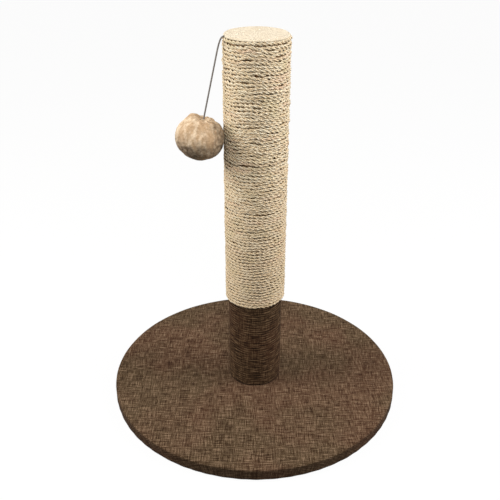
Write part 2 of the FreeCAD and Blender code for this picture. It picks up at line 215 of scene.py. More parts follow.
class Graph:
    """Short ways to build one material's nodes."""

    def __init__(self, name, roughness, sheen=0.0, specular=0.5):
        self.material = bpy.data.materials.new(name)
        self.tree = cleared_tree(self.material)
        self.shader = self.tree.nodes.new("ShaderNodeBsdfPrincipled")
        self.shader.inputs["Roughness"].default_value = roughness
        self.shader.inputs["Specular IOR Level"].default_value = specular
        self.shader.inputs["Sheen Weight"].default_value = sheen
        self.shader.inputs["Sheen Roughness"].default_value = 0.6
        output = self.tree.nodes.new("ShaderNodeOutputMaterial")
        self.link(self.shader.outputs[0], output.inputs[0])

    def link(self, source, target):
        self.tree.links.new(source, target)

    def put(self, value, target):
        if isinstance(value, bpy.types.NodeSocket):
            self.link(value, target)
        else:
            target.default_value = value

    def attribute(self, name, output="Vector"):
        node = self.tree.nodes.new("ShaderNodeAttribute")
        node.attribute_name = name
        return node.outputs[output]

    def place(self):
        """The point's place on the piece itself, in metres."""
        return self.tree.nodes.new("ShaderNodeTexCoord").outputs["Object"]

    def stretched(self, vector, x, y, z):
        """The vector with each axis times a number."""
        node = self.tree.nodes.new("ShaderNodeVectorMath")
        node.operation = "MULTIPLY"
        self.link(vector, node.inputs[0])
        node.inputs[1].default_value = (x, y, z)
        return node.outputs[0]

    def colour_noise(self, vector, scale):
        """A slowly changing vector round zero."""
        node = self.tree.nodes.new("ShaderNodeTexNoise")
        self.link(vector, node.inputs["Vector"])
        node.inputs["Scale"].default_value = scale
        shift = self.tree.nodes.new("ShaderNodeVectorMath")
        shift.operation = "SUBTRACT"
        self.link(node.outputs["Color"], shift.inputs[0])
        shift.inputs[1].default_value = (0.5, 0.5, 0.5)
        return shift.outputs[0]

    def added(self, a, b):
        node = self.tree.nodes.new("ShaderNodeVectorMath")
        self.link(a, node.inputs[0])
        self.link(b, node.inputs[1])
        return node.outputs[0]

    def mean(self, a, b, share):
        """(1 - share) of a and share of b."""
        return self.math("MULTIPLY_ADD", b, share, self.math("MULTIPLY", a, 1 - share))

    def noise(self, vector, scale=1.0, detail=2.0, roughness=0.5):
        node = self.tree.nodes.new("ShaderNodeTexNoise")
        self.link(vector, node.inputs["Vector"])
        node.inputs["Scale"].default_value = scale
        node.inputs["Detail"].default_value = detail
        node.inputs["Roughness"].default_value = roughness
        return node.outputs[0]

    def cells(self, vector, scale):
        node = self.tree.nodes.new("ShaderNodeTexVoronoi")
        self.link(vector, node.inputs["Vector"])
        node.inputs["Scale"].default_value = scale
        return node.outputs[0]

    def math(self, operation, a, b=0.0, c=0.0):
        node = self.tree.nodes.new("ShaderNodeMath")
        node.operation = operation
        for value, target in zip((a, b, c), node.inputs):
            self.put(value, target)
        return node.outputs[0]

    def split(self, vector):
        node = self.tree.nodes.new("ShaderNodeSeparateXYZ")
        self.link(vector, node.inputs[0])
        return node.outputs

    def between(self, value, low, high):
        """0 at low and 1 at high, smoothly."""
        node = self.tree.nodes.new("ShaderNodeMapRange")
        node.interpolation_type = "SMOOTHSTEP"
        self.put(value, node.inputs["Value"])
        node.inputs["From Min"].default_value = low
        node.inputs["From Max"].default_value = high
        return node.outputs[0]

    def mix(self, share, a, b):
        node = self.tree.nodes.new("ShaderNodeMix")
        node.data_type = "RGBA"
        self.put(share, node.inputs[0])
        self.put(a, node.inputs[6])
        self.put(b, node.inputs[7])
        return node.outputs[2]

    def tinted(self, body, share, most, colour):
        """The body's colour with as much as most of another colour, where share is 1."""
        return self.mix(self.math("MULTIPLY", share, most), body, colour)

    def bump(self, height, distance, strength):
        node = self.tree.nodes.new("ShaderNodeBump")
        node.inputs["Distance"].default_value = distance
        node.inputs["Strength"].default_value = strength
        self.link(height, node.inputs["Height"])
        return node.outputs[0]

    def finish(self, colour, normal):
        self.link(colour, self.shader.inputs["Base Color"])
        self.link(normal, self.shader.inputs["Normal"])
        return self.material


YARN = 1.25 * MM  # from one yarn of the brown cloth to the next
YARN_RUN = 75  # how fast the shade changes along a yarn, per metre
# The next colour is painted shadow: a dark line where the sleeve's foot stands over the base's
# cloth.
FOOT_SHADOW = linear(12, 7, 4)  # the dark line at the sleeve's cut edge


def linen(name, brown, red, olive, pale, dark, rib=0.0):
    """Plain-woven cloth of uneven two-tone yarns; the point value cut is the flat cloth's plane."""
    g = Graph(name, roughness=0.95, specular=0.1)
    cut = g.attribute("cut")
    drift = g.stretched(g.colour_noise(cut, 9.0), 0.010, 0.010, 0)
    cloth = g.added(cut, drift)
    x, y, _ = g.split(cloth)
    across = g.math("SINE", g.math("MULTIPLY", x, math.pi / YARN))
    along = g.math("SINE", g.math("MULTIPLY", y, math.pi / YARN))
    over = g.between(g.math("MULTIPLY", across, along), -0.5, 0.5)

    def yarns(is_weft):
        """Shade of one set of yarns: fine streaks, with wider and longer slubs."""
        shades = []
        for width, run in ((1.65 / YARN, YARN_RUN), (1.05 / YARN, YARN_RUN / 2)):
            way = (run, width, 1) if is_weft else (width, run, 1)
            shades.append(g.noise(g.stretched(cloth, *way)))
        return g.mean(*shades, 0.4)

    warp, weft = yarns(is_weft=False), yarns(is_weft=True)
    tone = g.mean(g.mean(warp, weft, 0.55), g.mix(over, warp, weft), 0.15)
    tone = g.mean(tone, g.noise(g.stretched(cloth, 1100, 1100, 1)), 0.2)
    if rib:
        row = g.math("SINE", g.math("MULTIPLY", y, 2 * math.pi / rib))
        row_patch = g.between(g.noise(g.stretched(cloth, 70, 200, 1)), 0.4, 0.6)
        row = g.math("MULTIPLY", row, row_patch)
        tone = g.math("MULTIPLY_ADD", row, 0.045, g.mean(weft, tone, 0.75))
    patch = g.noise(cut, 9.0, 2.0)
    hue = g.mix(g.between(patch, 0.38, 0.62), olive, red)
    body = g.mix(0.32, brown, hue)
    body = g.mix(g.between(tone, 0.50, 0.43), body, dark)
    body = g.mix(g.between(tone, 0.50, 0.575), body, pale)
    # Painted shade: darker where the cloth turns down over an edge, then the painted shadow line at
    # the sleeve's foot.
    down = g.attribute("edge_shade", "Fac")
    body = g.tinted(body, g.math("MINIMUM", down, 1.0), 0.45, dark)
    body = g.mix(g.between(down, 1.0, 1.8), body, FOOT_SHADOW)
    ridge = g.mix(over, g.math("ABSOLUTE", across), g.math("ABSOLUTE", along))
    height = g.math("MULTIPLY_ADD", tone, 1.2, ridge)
    return g.finish(body, g.bump(height, 0.3 * MM, 0.6))


def sisal():
    """Sisal fibre along the rope.

    The point value lay is a place in the rope laid straight; the other, painted shade, is 1 between
    strands and turns.
    """
    g = Graph("sisal_fibre", roughness=0.85, specular=0.2)
    lay = g.attribute("lay")
    groove_shade = g.attribute("groove_shade", "Fac")
    fibre = g.noise(g.stretched(lay, 3200, 3200, 170), 1.0, 3.0, 0.6)
    bundle = g.noise(g.stretched(lay, 900, 900, 75), 1.0, 2.0)
    bale = g.noise(g.stretched(lay, 60, 60, 14), 1.0, 2.0)
    place = g.noise(g.place(), 30.0, 2.0)
    # Painted shade: the rope duller and darker towards the post's foot.
    low = g.between(g.split(g.place())[2], 0.42, 0.16)
    body = g.mix(g.between(bundle, 0.38, 0.62), linear(236, 212, 173), linear(255, 246, 221))
    body = g.mix(g.between(fibre, 0.54, 0.34), body, linear(190, 160, 122))
    body = g.tinted(body, g.between(bale, 0.5, 0.7), 0.5, linear(232, 196, 170))
    body = g.tinted(body, g.between(place, 0.5, 0.7), 0.45, linear(216, 203, 164))
    body = g.tinted(body, low, 0.45, linear(208, 183, 148))
    # Painted shade in the hollows between strands and in the creases between turns.
    body = g.tinted(body, g.between(groove_shade, 0.15, 1.0), 0.85, linear(104, 78, 40))
    height = g.math("MULTIPLY_ADD", bundle, 0.7, fibre)
    return g.finish(body, g.bump(height, 0.55 * MM, 0.9))


def plush(name, pale, mid, deep, grain, streak, sheen, shade=None):
    """Short-pile plush: fine clumps, with softer streaks that run down the piece."""
    g = Graph(name, roughness=0.95, sheen=sheen, specular=0.2)
    place = g.place()
    clumps = g.noise(place, grain, 4.0, 0.65)
    tufts = g.noise(place, grain * 3.1, 2.0, 0.6)
    streaks = g.noise(g.stretched(place, streak, streak, streak * 0.18), 1.0, 3.0, 0.6)
    cloud = g.noise(place, 28.0, 2.0)
    body = g.mix(g.between(streaks, 0.38, 0.62), mid, pale)
    body = g.tinted(body, g.between(clumps, 0.56, 0.36), 0.4, deep)
    body = g.tinted(body, g.between(cloud, 0.5, 0.75), 0.35, deep)
    # The ball's painted shade, from its point value.
    if shade:
        body = g.mix(g.attribute("painted_shade", "Fac"), body, shade)
    height = g.math("ADD", clumps, g.math("MULTIPLY", tufts, 0.5))
    return g.finish(body, g.bump(height, 0.9 * MM, 0.8))


BRAID_LENGTH = 0.9 * MM
BRAID_YARNS = 4.0  # each way round the cord


def elastic():
    """Round elastic cord in a braided sleeve; lay is a point's place on the cord laid straight."""
    g = Graph("grey_elastic", roughness=0.6, sheen=0.1)
    x, y, along = g.split(g.attribute("lay"))
    turn = g.math("MULTIPLY", g.math("ARCTAN2", y, x), BRAID_YARNS)
    rise = g.math("MULTIPLY", along, 2 * math.pi / BRAID_LENGTH)
    one = g.math("SINE", g.math("ADD", turn, rise))
    other = g.math("SINE", g.math("SUBTRACT", turn, rise))
    braid = g.math("MULTIPLY", one, other)
    body = g.mix(g.between(braid, -0.7, 0.8), linear(92, 86, 82), linear(150, 144, 139))
    return g.finish(body, g.bump(braid, 0.12 * MM, 0.6))


def knotted():
    """The cord's knot: the same grey yarns, pulled tight in all directions."""
    g = Graph("grey_knot", roughness=0.6, specular=0.3)
    yarns = g.noise(g.place(), 1500.0, 3.0, 0.7)
    body = g.mix(g.between(yarns, 0.35, 0.65), linear(84, 78, 74), linear(150, 144, 139))
    return g.finish(body, g.bump(yarns, 0.15 * MM, 0.6))


def wood(name, pale, dark, grain_along):
    """Sawn wood or board: fine grain stretched along one axis."""
    g = Graph(name, roughness=0.7)
    long_axis = [140.0, 140.0, 140.0]
    long_axis[grain_along] = 12.0
    place = g.place()
    grain = g.noise(g.stretched(place, *long_axis), 1.0, 5.0, 0.65)
    chips = g.noise(place, 900.0, 2.0)
    body = g.mix(g.between(grain, 0.3, 0.7), pale, dark)
    body = g.tinted(body, chips, 0.3, dark)
    return g.finish(body, g.bump(grain, 0.15 * MM, 0.5))


PAPER_TURNS = 11.0  # of the paper strip, in one metre of tube


def paper_board():
    """Spirally wound brown paper, with the winding's edges as a slanting line."""
    g = Graph("paper_board", roughness=0.85)
    place = g.place()
    x, y, z = g.split(place)
    turn = g.math("MULTIPLY", g.math("ARCTAN2", y, x), 0.5 / math.pi)
    wind = g.math("FRACT", g.math("ADD", g.math("MULTIPLY", z, PAPER_TURNS), turn))
    seam = g.between(g.math("ABSOLUTE", g.math("SUBTRACT", wind, 0.5)), 0.488, 0.5)
    pulp = g.noise(place, 260.0, 4.0, 0.7)
    body = g.mix(g.between(pulp, 0.3, 0.7), linear(196, 160, 118), linear(164, 128, 90))
    return g.finish(g.mix(seam, body, linear(110, 82, 54)), g.bump(pulp, 0.1 * MM, 0.4))


def steel():
    """Zinc-plated steel with fine scratches from brushing."""
    g = Graph("zinc_steel", roughness=0.35)
    g.shader.inputs["Metallic"].default_value = 1.0
    place = g.place()
    scratch = g.noise(g.stretched(place, 300, 300, 4200), 1.0, 3.0)
    cloud = g.noise(place, 220.0, 2.0)
    body = g.mix(g.between(cloud, 0.3, 0.7), linear(176, 178, 182), linear(206, 207, 204))
    body = g.tinted(body, scratch, 0.3, linear(140, 142, 146))
    return g.finish(body, g.bump(scratch, 0.03 * MM, 0.4))


def spun_lining():
    """Black spun-bonded lining with its embossed dots."""
    g = Graph("spun_lining", roughness=0.9, sheen=0.1)
    place = g.place()
    dots = g.cells(place, 520.0)
    web = g.noise(place, 700.0, 4.0, 0.7)
    body = g.mix(g.between(web, 0.3, 0.7), linear(26, 25, 25), linear(46, 44, 43))
    body = g.mix(g.between(dots, 0.25, 0.1), body, linear(16, 15, 15))
    return g.finish(body, g.bump(g.math("ADD", dots, web), 0.12 * MM, 0.5))


BROWN_LINEN = linen(
    "brown_linen",
    linear(81, 62, 44),
    linear(97, 61, 48),
    linear(73, 63, 43),
    linear(142, 118, 94),
    linear(38, 22, 12),
)
# The base's linen again, with ribs in its weave, and with its colours darkened as painted shade for
# the sleeve's upright sides.
SHADED_SLEEVE_LINEN = linen(
    "sleeve_linen_shaded",
    linear(65, 45, 29),
    linear(76, 44, 32),
    linear(57, 45, 29),
    linear(122, 98, 73),
    linear(26, 17, 11),
    rib=3.6 * MM,
)
SISAL = sisal()
CREAM_PLUSH = plush(
    "cream_plush",
    linear(243, 229, 203),
    linear(236, 220, 192),
    linear(217, 197, 165),
    grain=900.0,
    streak=120.0,
    sheen=0.15,
)
TAN_PLUSH = plush(
    "tan_plush",
    linear(243, 220, 189),
    linear(208, 176, 140),
    linear(156, 119, 81),
    grain=330.0,
    streak=105.0,
    sheen=0.06,
    # the colour of the ball's painted shade
    shade=linear(82, 62, 38),
)
ELASTIC = elastic()
KNOT = knotted()
BOARD = wood("pressed_board", linear(196, 164, 124), linear(158, 124, 86), 0)
PLUG_WOOD = wood("plug_wood", linear(214, 182, 138), linear(176, 138, 94), 2)
PAPER = paper_board()
STEEL = steel()
LINING = spun_lining()


# ---- Base ---------------------------------------------------------------------------------

RIM_COLUMNS = 480
TOP_RING_STEP = 6.0 * MM
HEM_RINGS = (190.0 * MM, 183.0 * MM, HEM_INNER_R)
WEAVE_TURN = math.radians(17)  # the warp runs straight away from the front
GATHERS = 62  # small folds where the cloth goes under the edge
GATHER_DEPTH = 0.18 * MM
RIM_SLACK = 0.35 * MM
TOP_UNEVENNESS = 0.25 * MM
RAGGED_EDGE = 0.6 * MM


def cover_profile():
    """(radius, height) from the bolt hole over the rim to the hem's inner edge."""
    profile = [(HEM_BOLT_R, BASE_TOP), (HIDDEN_RING_R, BASE_TOP)]
    radius = TUBE_R
    while radius < BASE_R - EDGE_R - TOP_RING_STEP:
        profile.append((radius, BASE_TOP))
        radius += TOP_RING_STEP
    profile += [(BASE_R - EDGE_R * s, BASE_TOP - EDGE_R * c) for s, c in quarter_round()]
    middle = (BASE_TOP + LINING_TOP) / 2
    profile += [(BASE_R, middle + rise) for rise in (3 * MM, 0, -3 * MM)]
    profile += [(BASE_R - FOOT_R * c, LINING_TOP + FOOT_R * s) for s, c in quarter_round()]
    return profile + [(r, LINING_TOP) for r in HEM_RINGS]


def base_cloth():
    """The cloth pulled over the board, with small gathers where it goes under."""
    points, cut, edge_shade = [], [], []
    profile = cover_profile()
    before = profile[0]
    along = before[0]
    for r, z in profile:
        along += math.hypot(r - before[0], z - before[1])
        before = (r, z)
        down = smooth_step(BASE_TOP - z, 1 * MM, 15 * MM)
        rim = smooth_step(r, 150 * MM, 199 * MM)
        on_top = 1 if z > 10 * MM else 0
        for a in ring_angles(RIM_COLUMNS):
            x, y = math.cos(a), math.sin(a)
            slack = soft_noise(4 * x, 4 * y, 0.5) + 0.5 * soft_noise(11 * x, 11 * y, 2.5)
            gather = math.sin(GATHERS * a + 3 * soft_noise(5 * x, 5 * y, 7))
            inward = RIM_SLACK * slack * rim + GATHER_DEPTH * gather * down
            sink = TOP_UNEVENNESS * soft_noise(r * 26 * x, r * 26 * y, 4) * (1 - down)
            height = z + sink * smooth_step(r, 45 * MM, 90 * MM) * on_top
            points.append(around(r - inward, a, height))
            cut.append((along * math.cos(a + WEAVE_TURN), along * math.sin(a + WEAVE_TURN), 0.0))
            # Painted shade on the cloth where it turns down over the rim, read by the material.
            edge_shade.append(smooth_step(BASE_TOP - z, 0.6 * MM, 2.5 * MM))
    faces = grid_faces(len(profile), RIM_COLUMNS, closed_columns=True)
    cloth = new_piece(
        "base_cloth", points, faces, STAND, BROWN_LINEN, ["base_cover"]
    )
    point_values(cloth, "cut", cut)
    point_values(cloth, "edge_shade", edge_shade)


def lining():
    """The thin lining stuck under the base, a little uneven at its outer edge."""
    points = []
    rings = [(r, LINING_TOP) for r in (ACCESS_R, HEM_INNER_R, LINING_R)]
    rings += [(r, 0.0) for r in (LINING_R, HEM_INNER_R, 90 * MM, ACCESS_R)]
    for r, z in rings:
        for a in ring_angles(RIM_COLUMNS):
            ragged = 0
            if r == LINING_R:
                ragged = RAGGED_EDGE * soft_noise(9 * math.cos(a), 9 * math.sin(a), 1)
            points.append(around(r - abs(ragged), a, z))
    faces = grid_faces(len(rings), RIM_COLUMNS, closed_rows=True, closed_columns=True)
    sheet = new_piece("lining_sheet", points, faces, STAND, LINING, ["base_lining"])


# ---- Cloth sleeve -------------------------------------------------------------------------

SLEEVE_COLUMNS = 150
SLEEVE_ROWS = 36
SLEEVE_LAP = 9 * MM
SLEEVE_SEAM = math.radians(97)
SLEEVE_FOOT_GAP = 0.25 * MM  # over the base's cloth
SLEEVE_FOOT_ROWS = (0, 0.7, 1.3, 1.9, 2.5)  # mm over the foot, for its folded edge
FOOT_FLARE = 0.3  # mm, inwards


def sleeve():
    """Cloth wrapped once round the tube and lapped at the back."""
    foot = BASE_TOP + SLEEVE_FOOT_GAP
    lap = SLEEVE_LAP / SLEEVE_R
    points, cut, edge_shade = [], [], []
    height = SLEEVE_TOP - foot
    shares = [rise * MM / height for rise in SLEEVE_FOOT_ROWS]
    shares += [i / (SLEEVE_ROWS - 1) for i in range(1, SLEEVE_ROWS)]
    for share in shares:
        z = foot + height * share
        flare = -FOOT_FLARE * (1 - smooth_step(z - foot, 0, 1.5 * MM))
        for j in range(SLEEVE_COLUMNS):
            turn = (2 * math.pi + lap) * j / (SLEEVE_COLUMNS - 1)
            a = SLEEVE_SEAM + turn
            over = smooth_step(turn, 2 * math.pi - 0.03, 2 * math.pi + 0.01)
            wrinkle = soft_noise(3 * math.cos(a), 3 * math.sin(a), z * 30) * 0.18
            wrinkle += soft_noise(9 * math.cos(a), 9 * math.sin(a), z * 12) * 0.08
            r = SLEEVE_R - 0.15 * MM + (wrinkle + flare) * MM + over * CLOTH_T
            points.append(around(r, a, z + 0.2 * MM * soft_noise(a * 8, 3) * (1 - share)))
            cut.append((turn * SLEEVE_R, z, 0.0))
            # Painted shade at the sleeve's foot: up to 1 darkens the cloth, and from 1 to 2 it
            # becomes the painted shadow line.
            edge_shade.append(2 * (1 - smooth_step(z - foot, 1.1 * MM, 2.3 * MM)))
    faces = grid_faces(len(shares), SLEEVE_COLUMNS)
    cloth = new_piece(
        "sleeve_cloth", points, faces, STAND, SHADED_SLEEVE_LINEN, ["tube_sleeve"]
    )
    point_values(cloth, "cut", cut)
    point_values(cloth, "edge_shade", edge_shade)


# ---- Sisal rope ---------------------------------------------------------------------------

STRANDS = 3
SIDES_PER_STRAND = 6
ROPE_STEPS = 170  # rings of points in one turn
GROOVE_DEPTH = 0.60  # share of the rope's radius
FIRM_TO, SLACK_FROM = 16, 46  # turns up to which the winding is tight, and from which it is slack
LEVEL_FROM, LEVEL_BY = 74, 84.5  # turns over which the winding comes to lie level
LAST_FROM, LAST_BY = 84.6, 85.1  # turns over which the last turn comes up to the cap
LAST_RISE = 0.4  # mm

# Places where the winding is uneven: (turn, bearing's share of a turn, opening or bulge in mm,
# spread in turns). A gap opens above the turn named.
WINDING_GAPS = [
    (84, 0.60, 0.55, 1.6),
    (80, 0.30, 0.35, 2.0),
    (71, 0.62, 0.40, 2.0),
    (76, 0.45, 0.45, 2.0),
    (61, 0.40, 0.45, 2.5),
    (49, 0.40, 0.75, 2.5),
    (56, 0.55, 0.40, 2.0),
    (38, 0.50, 0.35, 2.5),
    (27, 0.45, 0.40, 2.5),
    (66, 0.95, 0.50, 2.0),
    (33, 0.05, 0.50, 2.0),
    (52, 0.80, 0.40, 2.0),
]
WINDING_BULGES = [
    (72, 0.60, 1.1, 0.9),
    (51, 0.42, 1.0, 1.2),
    (85, 0.72, 0.7, 1.0),
    (63, 0.35, 0.5, 1.2),
    (44, 0.90, 0.6, 1.5),
    (29, 0.48, 0.4, 1.0),
]
BULGE_WIDTH = 0.17  # of a turn
GAP_EDGE = 0.3  # of a turn, over which a gap opens
BALL_TURNS = 57.25  # where the ball leans on the rope, which is pressed flat there


def slackness(turn):
    """0 in the tight lower turns and 1 in the slack upper ones."""
    return smooth_step(turn, FIRM_TO, SLACK_FROM)


def winding_fault(turn):
    """(outward, upward) shift of the rope in mm where the winding is uneven."""
    out = up = 0.0
    for at, share, opening, spread in WINDING_GAPS:
        off = turn - at - share - 0.5
        if abs(off) < 6 * spread:
            up += opening * math.tanh(off / GAP_EDGE) * math.exp(-abs(off) / spread)
    for at, share, height, spread in WINDING_BULGES:
        off = turn - at - share
        nearest = off - round(off)
        if abs(off) < 5 * spread:
            out += height * math.exp(-((nearest / BULGE_WIDTH) ** 2) - (round(off) / spread) ** 2)
    return out, up


def rope_line(turn):
    """Middle of the rope, counted in turns from its lower end at the back."""
    turns = sum(ROPE_TURNS)
    left = turns - turn
    a = ROPE_BACK + 2 * math.pi * turn
    low = ROPE_LOW + ROPE_D / 2 - 0.2 * MM
    high = ROPE_HIGH - ROPE_D / 2 - 0.1 * MM
    calm = smooth_step(turn, 0, 4) * smooth_step(left, 0, 3)
    slack = slackness(turn)
    x, y = math.cos(a), math.sin(a)
    drift = soft_noise(1.3 * x, 1.3 * y, turn * 0.11) * 1.6
    drift += soft_noise(3.4 * x, 3.4 * y, turn * 0.23) * 1.0
    jitter = soft_noise(4 * x + 3, 4 * y, turn * 0.35) * (0.8 + 1.3 * slack)
    jitter += soft_noise(7 * x + 3, 7 * y, turn * 1.1) * (0.3 + 0.5 * slack)
    proud = soft_noise(2.6 * x, 2.6 * y + 9, turn * 0.8) * (0.5 + 0.7 * slack)
    proud += soft_noise(8 * x, 8 * y, turn * 2.0 + 5) * (0.3 + 0.4 * slack)
    out, up = winding_fault(turn)
    off_toy = math.remainder(a - math.pi, 2 * math.pi)
    at_ball = math.exp(-((off_toy / 0.7) ** 2) - ((turn - BALL_TURNS) / 9) ** 2)
    out = (out + proud) * (1 - at_ball) - 0.25 * at_ball
    part = turn % 1.0
    level = (smooth_step(part, 0, 0.25) - part) * smooth_step(turn, LEVEL_FROM, LEVEL_BY)
    z = low + (high - low) * (turn + level) / turns
    up = up * smooth_step(left, 0, 0.6) + LAST_RISE * smooth_step(turn, LAST_FROM, LAST_BY)
    z += (drift * calm + jitter * smooth_step(left, 0, 2) + up) * MM
    return around(ROPE_R + out * MM, a, z)


def strand_shape(across):
    """(share of the rope's radius, 0 to 1 towards the hollow between strands) at a place across one
    strand.
    """
    off = abs(2 * ((across + 0.5) % 1.0) - 1)
    return 1 - GROOVE_DEPTH * off**2, off


def rope_piece(name, first_turn, last_turn, cad_node):
    """One length of the laid rope; its points turn with the strands."""
    sides = STRANDS * SIDES_PER_STRAND
    count = (last_turn - first_turn) * ROPE_STEPS + 1
    half_step = 0.5 / ROPE_STEPS
    points, lay, groove_shade = [], [], []
    for i in range(count):
        turn = first_turn + i / ROPE_STEPS
        middle = rope_line(turn)
        ahead = (rope_line(turn + half_step) - rope_line(turn - half_step)).normalized()
        outward = Vector((middle.x, middle.y, 0)).normalized()
        upward = outward.cross(ahead).normalized()
        if upward.z < 0:
            upward = -upward
        length = turn * 2 * math.pi * ROPE_R
        twist = -2 * math.pi * length / ROPE_LAY + 1.6 * soft_noise(length * 9)
        twist += 0.4 * soft_noise(length * 41, 2)
        tight = 1 - slackness(turn)
        swell = 1 + 0.18 * soft_noise(length * 23, 4) + 0.14 * soft_noise(length * 120, 8)
        radius = ROPE_D / 2 * swell
        radius *= 1 - 0.10 * tight
        for k in range(sides):
            share = k / sides
            shape, off = strand_shape(share * STRANDS)
            a = 2 * math.pi * share + twist
            reach = radius * shape
            points.append(middle + outward * (math.cos(a) * reach) + upward * (math.sin(a) * reach))
            lay.append((math.cos(a) * reach, math.sin(a) * reach, length))
            facing = math.cos(a)  # 1 away from the tube, 0 towards the next turn
            # Painted shade: darkest in the creases between turns and the hollows between strands,
            # with the creases darker in the tight lower turns.
            crease = smooth_step(0.62 - facing, 0.0, 0.8)
            strand_gap = off**2 * (0.45 + 0.7 * crease) * (1 - 0.35 * tight)
            groove_shade.append(min(1.0, strand_gap + (0.38 + 0.5 * tight) * crease))
    piece = new_piece(
        name, points, tube_faces(count, sides), STAND, SISAL, [cad_node]
    )
    point_values(piece, "lay", lay)
    point_values(piece, "groove_shade", groove_shade)


def rope():
    first = 0
    for i, turns in enumerate(ROPE_TURNS):
        rope_piece("sisal_rope_%d" % (i + 1), first, first + turns, "rope_section_%d" % (i + 1))
        first += turns


# ---- Cap ----------------------------------------------------------------------------------

CAP_RINGS = 40
CAP_COLUMNS = 160
CAP_EDGE = 2.6 * MM  # rounding of its upper edge


def cap():
    """The plush disc: nearly flat, soft at its edge and raised a little over the cord."""
    foot = TUBE_TOP + 0.1 * MM
    radii = [CAP_R * (i / CAP_RINGS) ** 0.8 for i in range(1, CAP_RINGS)]
    profile = [(r, CAP_TOP) for r in radii if r < CAP_R - CAP_EDGE]
    profile += [(CAP_R - CAP_EDGE * s, CAP_TOP - CAP_EDGE * c) for s, c in quarter_round()]
    profile += [(CAP_R - 0.3 * MM, foot + 0.3 * MM), (CAP_R - 1.0 * MM, foot)]
    profile.append((HIDDEN_RING_R, foot))
    points = [Vector((0, 0, CAP_TOP - 0.3 * MM))]
    for r, z in profile:
        upper = 1 if z > foot + 1 * MM else 0
        for a in ring_angles(CAP_COLUMNS):
            x, y = r * math.cos(a), r * math.sin(a)
            pile = soft_noise(x * 420, y * 420, z * 420) * 0.16
            pile += soft_noise(x * 70, y * 70) * 0.3
            pile -= 0.25
            beside_cord = math.exp(-((y / (2.2 * MM)) ** 2))
            over_cord = beside_cord * smooth_step(-x, 8 * MM, 20 * MM) * 0.3
            wander = soft_noise(6 * math.cos(a), 6 * math.sin(a)) * 0.35 * MM
            edge = r + wander * smooth_step(r, 30 * MM, CAP_R)
            points.append(around(edge, a, z + (pile + over_cord) * MM * upper))
    faces = [(0, 1 + j, 1 + (j + 1) % CAP_COLUMNS) for j in range(CAP_COLUMNS)]
    for face in grid_faces(len(profile), CAP_COLUMNS, closed_columns=True):
        faces.append(tuple(v + 1 for v in face)[::-1])
    last = 1 + (len(profile) - 1) * CAP_COLUMNS
    faces.append(tuple(range(last, last + CAP_COLUMNS)))
    pad = new_piece("cap_plush", points, faces, STAND, CREAM_PLUSH, ["cap_pad"])


# ---- Toy cord -----------------------------------------------------------------------------

CORD_SIDES = 12
CORD_STEPS = 24  # points between two of the route's


def cord_line():
    """Points along the smooth line of the cord's route."""
    curve = bpy.data.curves.new("cord_route", "CURVE")
    curve.dimensions = "3D"
    curve.resolution_u = CORD_STEPS
    spline = curve.splines.new("NURBS")
    spline.points.add(len(CORD_ROUTE) - 1)
    for point, place in zip(spline.points, CORD_ROUTE):
        point.co = (*place, 1.0)
    spline.order_u = 3
    spline.use_endpoint_u = True
    holder = bpy.data.objects.new("cord_route", curve)
    mesh = bpy.data.meshes.new_from_object(holder)
    line = [v.co.copy() for v in mesh.vertices]
    bpy.data.objects.remove(holder)
    bpy.data.meshes.remove(mesh)
    bpy.data.curves.remove(curve)
    return line


def cord_tube(name, line, cad_nodes):
    """A piece of cord along the line, and its length."""
    points, lay = [], []
    along = 0.0
    side = Vector((0, 1, 0))
    for i, middle in enumerate(line):
        ahead = (line[min(i + 1, len(line) - 1)] - line[max(i - 1, 0)]).normalized()
        other = ahead.cross(side).normalized()
        if i:
            along += (middle - line[i - 1]).length
        for a in ring_angles(CORD_SIDES):
            offset = side * math.cos(a) + other * math.sin(a)
            points.append(middle + offset * (CORD_D / 2))
            lay.append((math.cos(a) * MM, math.sin(a) * MM, along))
    faces = tube_faces(len(line), CORD_SIDES)
    tube = new_piece(name, points, faces, None, ELASTIC, cad_nodes)
    point_values(tube, "lay", lay)
    return tube, along


def cord():
    """The elastic cord in two pieces that meet where both follow the free length."""
    line = cord_line()
    meet = next(i for i, p in enumerate(line) if p.z < CORD_TURN_TO.z)
    upper, upper_length = cord_tube("cord_over_rim", line[: meet + 1], ["cord_tail", "cord_bend"])
    lower, lower_length = cord_tube("cord_to_ball", line[meet:], ["toy_cord"])
    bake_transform(upper)
    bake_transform(lower)
    print("cord lengths", upper_length, lower_length)


# ---- Ball ---------------------------------------------------------------------------------

BALL_RINGS = 170
BALL_COLUMNS = 240
RING_CROWDING = 1.15  # above 1, the rings stand closer together towards the mouth
BALL_FOOT = 0.004  # radians to the underside's middle, where one face closes the ball
THROAT = 0.035  # radians from the ball's axis to the cord
MOUTH_R = 8.5 * MM
MOUTH_DEPTH = 4.5 * MM
FOLDS = 13  # gathers round the mouth
# The ball's own axes: towards the post, away from the front and up along the cord.
BALL_TURN = Matrix(((BALL_AXIS.z, 0, -BALL_AXIS.x), (0, 1, 0), BALL_AXIS))


def on_ball(right, away, up):
    """A direction from the ball's middle, as the photograph sees it, in the ball's own axes."""
    return (BALL_TURN @ in_view_frame(right, away, up)).normalized()


# Tucks and bulges of the plush: (direction, height in mm, reach in radians)
BALL_SHAPING = [
    (on_ball(-0.25, 0.42, 0.86), 2.1, 0.22),
    (on_ball(-0.45, 0.10, 0.85), 0.8, 0.30),
    (on_ball(0.47, 0.38, 0.80), -0.5, 0.45),
    (on_ball(0.26, 0.20, 0.95), -2.2, 0.26),
    (on_ball(0.04, 0.32, 0.94), -1.5, 0.20),
    (on_ball(0.30, -0.75, 0.60), 0.6, 0.30),
    (on_ball(-0.55, -0.75, -0.30), -0.7, 0.30),
    (on_ball(-0.90, 0.10, -0.25), 0.5, 0.35),
]
